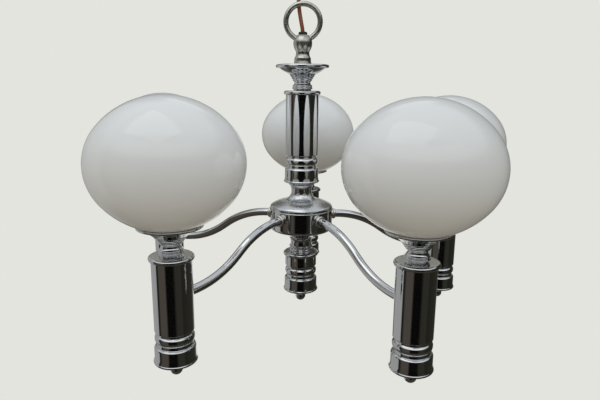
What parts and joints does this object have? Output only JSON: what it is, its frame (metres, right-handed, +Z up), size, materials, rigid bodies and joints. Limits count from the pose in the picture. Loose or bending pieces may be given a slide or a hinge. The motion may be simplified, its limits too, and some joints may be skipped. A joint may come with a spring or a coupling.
{
  "type": "multi arm chandelier",
  "caption": "Chandelier of bent tube arms on a turned hub, with opal glass globes on upright columns, hung from a cast loop.",
  "frame": {"origin": "where a hook bears, on the inner top of the suspension loop", "axes": "+Z up along the centre column; the loop's ring lies in the XZ plane, and one arm points along +Y"},
  "size_m": [0.5334, 0.5146, 0.4264],
  "materials": {
    "chrome": "polished chrome plate",
    "nickel": "dull nickel plate on a casting",
    "opal_glass": "glossy opal white",
    "bulb_glass": "frosted white",
    "zinc_steel": "zinc plate",
    "spring_steel": "bright rolled strip",
    "holder_plastic": "smooth moulded",
    "porcelain": "glazed",
    "wire_insulation": "extruded sleeve",
    "brown_cable": "extruded sheath",
    "black_rubber": "moulded",
    "white_nylon": "moulded"
  },
  "bodies": {
    "frame": {"suspension_loop": "nickel", "cable_bush": "black_rubber", "supply_cable": "brown_cable", "inner_cable": "brown_cable", "terminal_block": "white_nylon", "top_dish": "chrome", "upper_cap": "chrome", "upper_tube": "chrome", "upper_ferrule": "chrome", "hub_bell": "chrome", "hub_drum": "chrome", "junction_block": "porcelain", "lower_cap": "chrome", "lower_tube": "chrome", "lower_ferrule": "chrome", "centre_finial": "chrome", "centre_rod": "zinc_steel", "rod_nuts": "zinc_steel", "arm_collars": "chrome", "arm_locknuts": "zinc_steel", "column_caps": "chrome", "column_finials": "chrome", "column_rods": "zinc_steel", "globe_springs": "spring_steel", "arm_wires": "wire_insulation", "arm_1": "chrome", "arm_2": "chrome", "arm_3": "chrome", "arm_4": "chrome", "arm_5": "chrome", "column_tube_1": "chrome", "column_tube_2": "chrome", "column_tube_3": "chrome", "column_tube_4": "chrome", "column_tube_5": "chrome", "column_ferrule_1": "chrome", "column_ferrule_2": "chrome", "column_ferrule_3": "chrome", "column_ferrule_4": "chrome", "column_ferrule_5": "chrome", "gallery_1": "chrome", "gallery_2": "chrome", "gallery_3": "chrome", "gallery_4": "chrome", "gallery_5": "chrome", "lampholder_1": "holder_plastic", "lampholder_2": "holder_plastic", "lampholder_3": "holder_plastic", "lampholder_4": "holder_plastic", "lampholder_5": "holder_plastic", "bulb_1": "bulb_glass", "bulb_2": "bulb_glass", "bulb_3": "bulb_glass", "bulb_4": "bulb_glass", "bulb_5": "bulb_glass"},
    "globe_1": {"globe_1": "opal_glass"},
    "globe_2": {"globe_2": "opal_glass"},
    "globe_3": {"globe_3": "opal_glass"},
    "globe_4": {"globe_4": "opal_glass"},
    "globe_5": {"globe_5": "opal_glass"}
  },
  "joints": [
    {"name": "globe_1_lift", "type": "slide", "parent": "frame", "child": "globe_1", "axis": [0, 0, 1], "range_m": [0, 0.09]},
    {"name": "globe_2_lift", "type": "slide", "parent": "frame", "child": "globe_2", "axis": [0, 0, 1], "range_m": [0, 0.09]},
    {"name": "globe_3_lift", "type": "slide", "parent": "frame", "child": "globe_3", "axis": [0, 0, 1], "range_m": [0, 0.09]},
    {"name": "globe_4_lift", "type": "slide", "parent": "frame", "child": "globe_4", "axis": [0, 0, 1], "range_m": [0, 0.09]},
    {"name": "globe_5_lift", "type": "slide", "parent": "frame", "child": "globe_5", "axis": [0, 0, 1], "range_m": [0, 0.09]}
  ]
}
